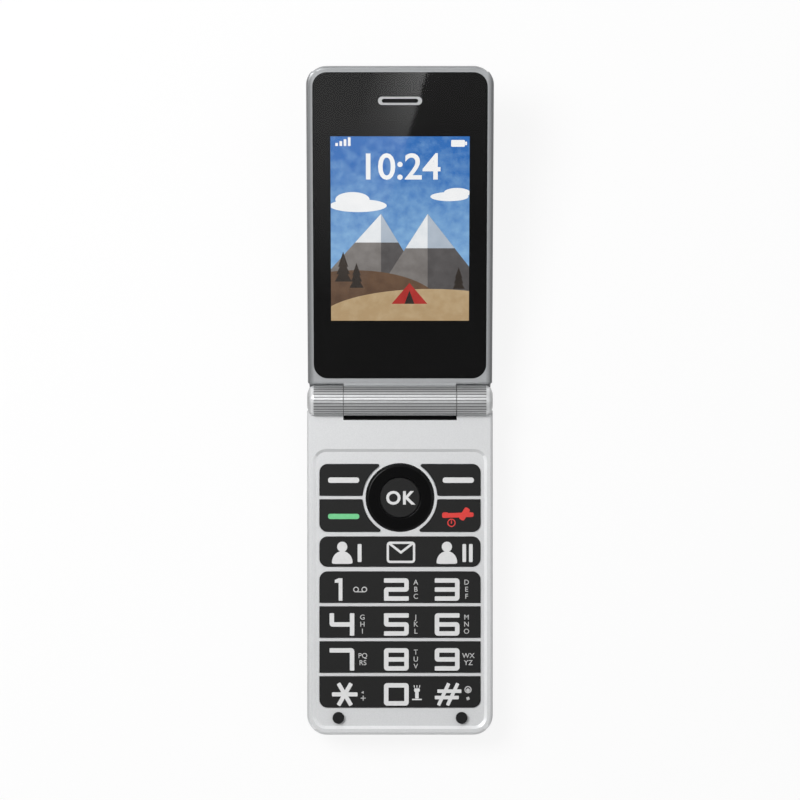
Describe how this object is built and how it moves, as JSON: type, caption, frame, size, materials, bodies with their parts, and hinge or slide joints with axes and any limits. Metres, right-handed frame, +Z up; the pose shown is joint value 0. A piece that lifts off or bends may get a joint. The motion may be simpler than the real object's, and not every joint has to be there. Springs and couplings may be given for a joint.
{
  "type": "flip phone",
  "caption": "Clamshell mobile phone, open: a lid with display window and earpiece on a ribbed barrel hinge, and a base with key bars, navigation ring and sliding battery cover.",
  "frame": {"origin": "middle of the base's back face, halfway from its free end to the hinge axis", "axes": "+X to the right of someone who uses it, +Y from the keypad to the lid, +Z up out of the keypad"},
  "size_m": [0.0494, 0.1774, 0.0288],
  "materials": {
    "silver_paint": "metallic silver paint on moulded plastic, satin",
    "rim_paint": "darker metallic silver paint on moulded plastic",
    "shell_dark": "moulded plastic, fine texture",
    "sleeve_metal": "ribbed, anodised",
    "key_black": "hard keycaps, satin",
    "nav_black": "high gloss",
    "silicone": "moulded silicone",
    "bumper_rubber": "soft pad",
    "window_glass": "hard-coated acrylic with a black printed border",
    "display_glass": "liquid crystal panel",
    "backlight_white": "diffuser stack",
    "board_green": "circuit board with solder mask",
    "dome_film": "polyester sheet over metal domes",
    "spring_steel": "hardened steel",
    "sheet_steel": "bright sheet steel",
    "contact_gold": "gold plated springs",
    "battery_can": "wrapped aluminium can",
    "flex_amber": "polyimide film",
    "module_black": "black moulded housing",
    "lens_glass": "clear window",
    "led_lens": "clear lens with phosphor under it",
    "bush_white": "acetal",
    "gasket_foam": "foam tape",
    "bezel_chrome": "plated ring",
    "mesh_black": "fine woven mesh",
    "magnet_nickel": "nickel plated"
  },
  "bodies": {
    "base": {"base_front_housing": "silver_paint", "base_rear_housing": "shell_dark", "battery_pack": "battery_can", "battery_contacts": "contact_gold", "sim_card_holder": "sheet_steel", "main_circuit_board": "board_green", "keypad_dome_sheet": "dome_film", "keypad_rubber_web": "silicone", "lid_bumpers": "bumper_rubber", "usb_port": "sheet_steel", "microphone": "sheet_steel", "antenna": "module_black", "camera_module": "module_black", "camera_window": "lens_glass", "torch_led": "led_lens", "loudspeaker": "module_black", "vibration_motor": "sheet_steel", "hinge_sleeve_right": "sleeve_metal", "hinge_sleeve_left": "sleeve_metal", "hinge_cam_shaft": "spring_steel", "pivot_bush": "bush_white", "flex_cable_base": "flex_amber"},
    "lid": {"hinge_can": "sheet_steel", "hinge_cam_follower": "spring_steel", "hinge_spring": "spring_steel", "hinge_sleeve_centre": "sleeve_metal", "flex_cable_lid": "flex_amber", "lid_front_frame": "rim_paint", "lid_back_cover": "shell_dark", "lid_circuit_board": "board_green", "display_window": "window_glass", "window_gasket": "gasket_foam", "display_panel": "display_glass", "display_backlight": "backlight_white", "earpiece_bezel": "bezel_chrome", "earpiece_mesh": "mesh_black", "earpiece_speaker": "module_black", "lid_magnet": "magnet_nickel"},
    "battery_cover": {"battery_cover": "shell_dark"},
    "softkey_left": {"softkey_left": "key_black"},
    "softkey_right": {"softkey_right": "key_black"},
    "call_key": {"call_key": "key_black"},
    "end_key": {"end_key": "key_black"},
    "ok_key": {"ok_key": "key_black"},
    "nav_ring_pad": {"nav_ring_pad": "silicone"},
    "nav_ring": {"nav_ring": "nav_black"},
    "shortcut_row_pad": {"shortcut_row_pad": "silicone"},
    "shortcut_row_key": {"shortcut_row_key": "key_black"},
    "row_123_pad": {"row_123_pad": "silicone"},
    "row_123_key": {"row_123_key": "key_black"},
    "row_456_pad": {"row_456_pad": "silicone"},
    "row_456_key": {"row_456_key": "key_black"},
    "row_789_pad": {"row_789_pad": "silicone"},
    "row_789_key": {"row_789_key": "key_black"},
    "row_star_0_hash_pad": {"row_star_0_hash_pad": "silicone"},
    "row_star_0_hash_key": {"row_star_0_hash_key": "key_black"}
  },
  "joints": [
    {"name": "lid_fold", "type": "hinge", "parent": "base", "child": "lid", "pos_m": [0, 0.0445, 0.01065], "axis": [1, 0, 0], "range_deg": [0, 168]},
    {"name": "battery_cover_slide", "type": "slide", "parent": "base", "child": "battery_cover", "axis": [0, -1, 0], "range_m": [0, 0.008]},
    {"name": "softkey_left_press", "type": "slide", "parent": "base", "child": "softkey_left", "axis": [0, 0, -1], "range_m": [0, 0.0004], "stiffness_N_per_m": 4000},
    {"name": "softkey_right_press", "type": "slide", "parent": "base", "child": "softkey_right", "axis": [0, 0, -1], "range_m": [0, 0.0004], "stiffness_N_per_m": 4000},
    {"name": "call_key_press", "type": "slide", "parent": "base", "child": "call_key", "axis": [0, 0, -1], "range_m": [0, 0.0004], "stiffness_N_per_m": 4000},
    {"name": "end_key_press", "type": "slide", "parent": "base", "child": "end_key", "axis": [0, 0, -1], "range_m": [0, 0.0004], "stiffness_N_per_m": 4000},
    {"name": "ok_key_press", "type": "slide", "parent": "base", "child": "ok_key", "axis": [0, 0, -1], "range_m": [0, 0.0004], "stiffness_N_per_m": 4000},
    {"name": "nav_tilt_up_down", "type": "hinge", "parent": "base", "child": "nav_ring_pad", "pos_m": [0, 0.01865, 0.0077], "axis": [1, 0, 0], "range_deg": [-1.8, 1.8], "stiffness_Nm_per_rad": 0.5},
    {"name": "nav_tilt_sideways", "type": "hinge", "parent": "nav_ring_pad", "child": "nav_ring", "pos_m": [0, 0.01865, 0.008], "axis": [0, 1, 0], "range_deg": [-1.8, 1.8], "stiffness_Nm_per_rad": 0.5},
    {"name": "shortcut_row_press", "type": "slide", "parent": "base", "child": "shortcut_row_pad", "axis": [0, 0, -1], "range_m": [0, 0.0004], "stiffness_N_per_m": 4000},
    {"name": "shortcut_row_rock", "type": "hinge", "parent": "shortcut_row_pad", "child": "shortcut_row_key", "pos_m": [0, 0.00425, 0.00806], "axis": [0, 1, 0], "range_deg": [-0.5, 0.5], "stiffness_Nm_per_rad": 3},
    {"name": "row_123_press", "type": "slide", "parent": "base", "child": "row_123_pad", "axis": [0, 0, -1], "range_m": [0, 0.0004], "stiffness_N_per_m": 4000},
    {"name": "row_123_rock", "type": "hinge", "parent": "row_123_pad", "child": "row_123_key", "pos_m": [0, -0.0052, 0.00806], "axis": [0, 1, 0], "range_deg": [-0.5, 0.5], "stiffness_Nm_per_rad": 3},
    {"name": "row_456_press", "type": "slide", "parent": "base", "child": "row_456_pad", "axis": [0, 0, -1], "range_m": [0, 0.0004], "stiffness_N_per_m": 4000},
    {"name": "row_456_rock", "type": "hinge", "parent": "row_456_pad", "child": "row_456_key", "pos_m": [0, -0.0145, 0.00806], "axis": [0, 1, 0], "range_deg": [-0.5, 0.5], "stiffness_Nm_per_rad": 3},
    {"name": "row_789_press", "type": "slide", "parent": "base", "child": "row_789_pad", "axis": [0, 0, -1], "range_m": [0, 0.0004], "stiffness_N_per_m": 4000},
    {"name": "row_789_rock", "type": "hinge", "parent": "row_789_pad", "child": "row_789_key", "pos_m": [0, -0.0238, 0.00806], "axis": [0, 1, 0], "range_deg": [-0.5, 0.5], "stiffness_Nm_per_rad": 3},
    {"name": "row_star_0_hash_press", "type": "slide", "parent": "base", "child": "row_star_0_hash_pad", "axis": [0, 0, -1], "range_m": [0, 0.0004], "stiffness_N_per_m": 4000},
    {"name": "row_star_0_hash_rock", "type": "hinge", "parent": "row_star_0_hash_pad", "child": "row_star_0_hash_key", "pos_m": [0, -0.0331, 0.00806], "axis": [0, 1, 0], "range_deg": [-0.5, 0.5], "stiffness_Nm_per_rad": 3}
  ]
}
